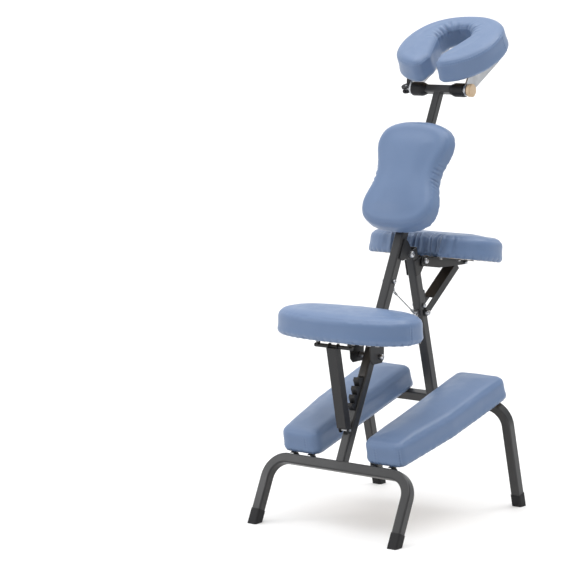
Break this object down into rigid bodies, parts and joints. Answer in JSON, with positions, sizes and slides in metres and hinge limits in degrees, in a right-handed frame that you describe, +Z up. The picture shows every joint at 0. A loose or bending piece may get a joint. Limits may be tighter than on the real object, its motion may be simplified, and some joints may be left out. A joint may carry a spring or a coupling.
{
  "type": "kneeling massage chair",
  "caption": "Folding kneeling massage chair with sloping seat, knee rests, chest pad, armrest and a tilting face cradle on a leaning tube frame.",
  "frame": {"origin": "middle of the bounding box, on the floor", "axes": "+X to the sitter's right, +Y the way the sitter faces, towards the armrest and face cradle, +Z up"},
  "size_m": [0.46, 0.6905, 1.2394],
  "materials": {
    "rear_frame": "charcoal powder coat",
    "rear_feet": "matte rubber",
    "rear_hinge_bracket": "charcoal powder coat",
    "hinge_pin": "zinc plated",
    "seat_rack": "charcoal powder coat",
    "seat_pivot_bolt": "zinc plated",
    "post_collar": "moulded",
    "rear_cable_bolt": "zinc plated",
    "restraint_cable": "zinc plated",
    "front_frame": "charcoal powder coat",
    "front_feet": "matte rubber",
    "front_hinge_knuckle": "charcoal powder coat",
    "armrest_ears": "charcoal powder coat",
    "armrest_pivot_bolt": "zinc plated",
    "armrest_stop": "charcoal powder coat",
    "front_cable_bolt": "zinc plated",
    "armrest_strut_bolt": "zinc plated",
    "armrest_strut": "charcoal powder coat",
    "armrest_bracket": "charcoal powder coat",
    "armrest_end_bolt": "zinc plated",
    "armrest_board": "plywood",
    "armrest_pad": "soft satin upholstery",
    "armrest_screws": "zinc plated",
    "seat_bracket": "charcoal powder coat",
    "seat_crossbar": "charcoal powder coat",
    "seat_board": "plywood",
    "seat_pad": "soft satin upholstery",
    "seat_screws": "zinc plated",
    "seat_strut": "charcoal powder coat",
    "seat_strut_bolt": "zinc plated",
    "left_knee_clips": "moulded",
    "left_knee_board": "plywood",
    "left_knee_pad": "soft satin upholstery",
    "right_knee_clips": "moulded",
    "right_knee_board": "plywood",
    "right_knee_pad": "soft satin upholstery",
    "chest_sleeve": "charcoal powder coat",
    "chest_plate": "charcoal powder coat",
    "chest_board": "plywood",
    "chest_pad": "soft satin upholstery",
    "chest_screws": "zinc plated",
    "chest_knob": "moulded",
    "height_knob": "moulded",
    "head_post": "charcoal powder coat",
    "tbar_fittings": "moulded",
    "cam_lever": "moulded",
    "wood_knob": "turned beech",
    "cradle_arms": "brushed",
    "cradle_base": "plywood",
    "face_cushion": "soft satin upholstery",
    "cradle_screws": "zinc plated",
    "clamp_rod": "zinc plated",
    "lever_pin": "zinc plated",
    "cradle_washers": "zinc plated"
  },
  "bodies": {
    "rear_frame": {"rear_frame": "rear_frame", "rear_feet": "rear_feet", "rear_hinge_bracket": "rear_hinge_bracket", "hinge_pin": "hinge_pin", "seat_rack": "seat_rack", "seat_pivot_bolt": "seat_pivot_bolt", "post_collar": "post_collar", "rear_cable_bolt": "rear_cable_bolt", "restraint_cable": "restraint_cable"},
    "front_frame": {"front_frame": "front_frame", "front_feet": "front_feet", "front_hinge_knuckle": "front_hinge_knuckle", "armrest_ears": "armrest_ears", "armrest_pivot_bolt": "armrest_pivot_bolt", "armrest_stop": "armrest_stop", "front_cable_bolt": "front_cable_bolt", "armrest_strut_bolt": "armrest_strut_bolt"},
    "armrest_strut": {"armrest_strut": "armrest_strut"},
    "armrest": {"armrest_bracket": "armrest_bracket", "armrest_end_bolt": "armrest_end_bolt", "armrest_board": "armrest_board", "armrest_pad": "armrest_pad", "armrest_screws": "armrest_screws"},
    "seat": {"seat_bracket": "seat_bracket", "seat_crossbar": "seat_crossbar", "seat_board": "seat_board", "seat_pad": "seat_pad", "seat_screws": "seat_screws"},
    "seat_strut": {"seat_strut": "seat_strut", "seat_strut_bolt": "seat_strut_bolt"},
    "left_knee_rest": {"left_knee_clips": "left_knee_clips", "left_knee_board": "left_knee_board", "left_knee_pad": "left_knee_pad"},
    "right_knee_rest": {"right_knee_clips": "right_knee_clips", "right_knee_board": "right_knee_board", "right_knee_pad": "right_knee_pad"},
    "chest_rest": {"chest_sleeve": "chest_sleeve", "chest_plate": "chest_plate", "chest_board": "chest_board", "chest_pad": "chest_pad", "chest_screws": "chest_screws"},
    "chest_knob": {"chest_knob": "chest_knob"},
    "height_knob": {"height_knob": "height_knob"},
    "head_post": {"head_post": "head_post", "tbar_fittings": "tbar_fittings"},
    "cam_lever": {"cam_lever": "cam_lever"},
    "wood_knob": {"wood_knob": "wood_knob"},
    "cradle": {"cradle_arms": "cradle_arms", "cradle_base": "cradle_base", "face_cushion": "face_cushion", "cradle_screws": "cradle_screws", "clamp_rod": "clamp_rod", "lever_pin": "lever_pin", "cradle_washers": "cradle_washers"}
  },
  "joints": [
    {"name": "frame_fold", "type": "hinge", "parent": "rear_frame", "child": "front_frame", "pos_m": [0, 0.0154, 0.64787], "axis": [1, 0, 0], "range_deg": [-40.4, 0], "deforming": ["restraint_cable"]},
    {"name": "left_knee_swing", "type": "hinge", "parent": "rear_frame", "child": "left_knee_rest", "pos_m": [0, -0.25696, 0.15485], "axis": [1, 0, 0], "range_deg": [0, 36.46]},
    {"name": "right_knee_swing", "type": "hinge", "parent": "rear_frame", "child": "right_knee_rest", "pos_m": [0, -0.25696, 0.15485], "axis": [1, 0, 0], "range_deg": [0, 36.46]},
    {"name": "seat_fold", "type": "hinge", "parent": "rear_frame", "child": "seat", "pos_m": [0, -0.13649, 0.41203], "axis": [1, 0, 0], "range_deg": [0, 64.9]},
    {"name": "seat_strut_swing", "type": "hinge", "parent": "seat", "child": "seat_strut", "pos_m": [0, -0.2875, 0.4535], "axis": [1, 0, 0], "range_deg": [-98.7, 0]},
    {"name": "armrest_fold", "type": "hinge", "parent": "front_frame", "child": "armrest", "pos_m": [0, 0.07203, 0.62654], "axis": [1, 0, 0], "range_deg": [-66, 0]},
    {"name": "armrest_strut_swing", "type": "hinge", "parent": "front_frame", "child": "armrest_strut", "pos_m": [0, 0.0888, 0.49324], "axis": [1, 0, 0], "range_deg": [-112, 0]},
    {"name": "chest_rest_slide", "type": "slide", "parent": "rear_frame", "child": "chest_rest", "axis": [0, 0.4242, 0.9056], "range_m": [-0.03, 0.03]},
    {"name": "chest_knob_spin", "type": "hinge", "parent": "chest_rest", "child": "chest_knob", "pos_m": [0, 0.07969, 0.80659], "axis": [0, 0.9056, -0.4242], "continuous": true},
    {"name": "height_knob_spin", "type": "hinge", "parent": "rear_frame", "child": "height_knob", "pos_m": [0, 0.12696, 0.90371], "axis": [0, 0.9056, -0.4242], "continuous": true},
    {"name": "head_post_slide", "type": "slide", "parent": "rear_frame", "child": "head_post", "axis": [0, 0.4242, 0.9056], "range_m": [-0.03, 0.1]},
    {"name": "cradle_tilt", "type": "hinge", "parent": "head_post", "child": "cradle", "pos_m": [0, 0.16257, 1.05046], "axis": [1, 0, 0], "range_deg": [-40, 20]},
    {"name": "cam_lever_swing", "type": "hinge", "parent": "cradle", "child": "cam_lever", "pos_m": [-0.099, 0.16257, 1.05046], "axis": [0, -0.4695, 0.8829], "range_deg": [0, 90]},
    {"name": "wood_knob_spin", "type": "hinge", "parent": "cradle", "child": "wood_knob", "pos_m": [0.0935, 0.16257, 1.05046], "axis": [1, 0, 0], "continuous": true}
  ],
  "couplings": [
    {"joint": "left_knee_swing", "follows": "frame_fold", "ratio": -0.9},
    {"joint": "right_knee_swing", "follows": "frame_fold", "ratio": -0.9},
    {"joint": "seat_strut_swing", "follows": "seat_fold", "ratio": -1.52},
    {"joint": "armrest_strut_swing", "follows": "armrest_fold", "ratio": 1.68}
  ]
}
